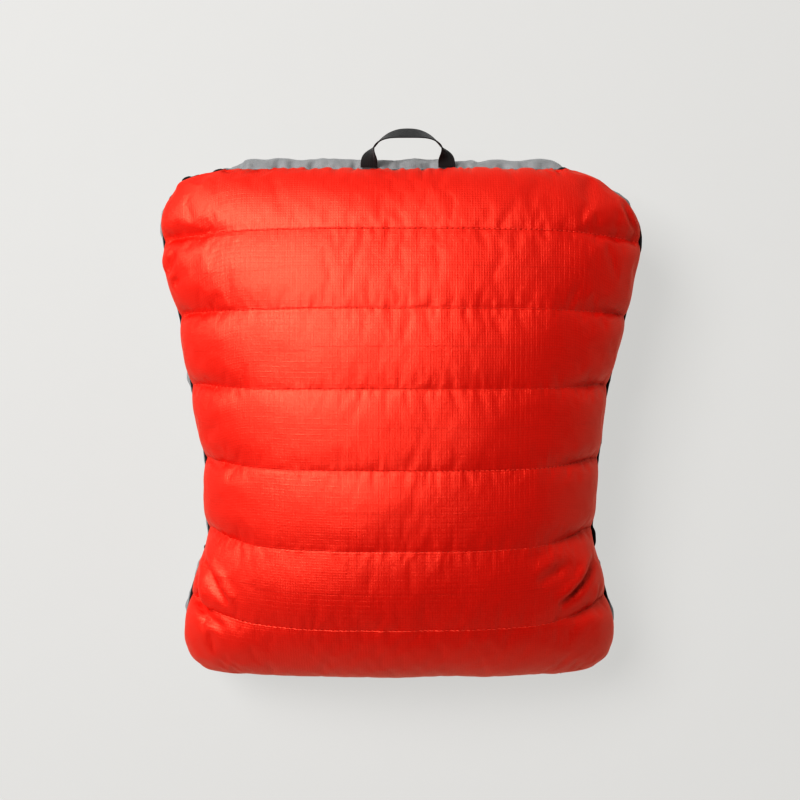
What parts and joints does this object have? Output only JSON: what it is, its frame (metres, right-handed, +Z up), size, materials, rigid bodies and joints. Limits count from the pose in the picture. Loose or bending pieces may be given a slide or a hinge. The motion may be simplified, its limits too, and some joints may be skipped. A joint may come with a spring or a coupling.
{
  "type": "packed camp blanket",
  "caption": "Quilted insulated camp blanket stowed in its own zipped pocket as a pillow, with horizontal channels, a plain back and a webbing carry handle.",
  "frame": {"origin": "on the flat underside of the packed pillow, below the middle of the waist-to-shoulder length", "axes": "+Z up out of the quilted face, +Y towards the zipper and the carry handle, +X to the right seen from above"},
  "size_m": [0.4414, 0.4974, 0.165],
  "materials": {
    "face_fabric": "satin",
    "lining_fabric": "satin",
    "batting": "matte",
    "binding": "matte",
    "quilt_thread": "satin",
    "zipper_tape": "matte",
    "zipper_coil": "satin",
    "zipper_metal": "satin",
    "pull_tab": "matte",
    "webbing": "matte"
  },
  "bodies": {
    "pocket": {"front_face_fabric": "face_fabric", "front_insulation": "batting", "front_lining": "lining_fabric", "back_outer_fabric": "lining_fabric", "back_insulation": "batting", "back_lining": "face_fabric", "seam_binding": "binding", "quilt_thread_1": "quilt_thread", "quilt_thread_2": "quilt_thread", "quilt_thread_3": "quilt_thread", "quilt_thread_4": "quilt_thread", "quilt_thread_5": "quilt_thread", "quilt_thread_6": "quilt_thread", "zipper_tape_front": "zipper_tape", "zipper_tape_back": "zipper_tape", "zipper_coil_front": "zipper_coil", "zipper_coil_back": "zipper_coil", "zipper_stop_top": "zipper_metal", "zipper_stop_bottom": "zipper_metal", "zipper_end_tab_left": "zipper_tape", "zipper_end_tab_right": "zipper_tape", "handle_bartack_left": "binding", "handle_bartack_right": "binding", "folded_blanket_face": "face_fabric", "folded_blanket_insulation": "batting", "folded_blanket_lining": "lining_fabric"},
    "handle": {"handle_webbing": "webbing"},
    "slider": {"zipper_slider_body": "zipper_metal", "zipper_pull_pin": "zipper_metal"},
    "pull": {"zipper_pull_tab": "pull_tab"}
  },
  "joints": [
    {"name": "handle_fold", "type": "hinge", "parent": "pocket", "child": "handle", "pos_m": [0.007, 0.2082, 0.105], "axis": [1, 0, 0], "range_deg": [-20, 60]},
    {"name": "zipper_slide", "type": "slide", "parent": "pocket", "child": "slider", "axis": [1, 0, 0], "range_m": [0, 0.2508]},
    {"name": "pull_tab_flip", "type": "hinge", "parent": "slider", "child": "pull", "pos_m": [-0.1254, 0.21549, 0.03629], "axis": [0, 0.533, 0.8461], "range_deg": [0, 160]}
  ]
}
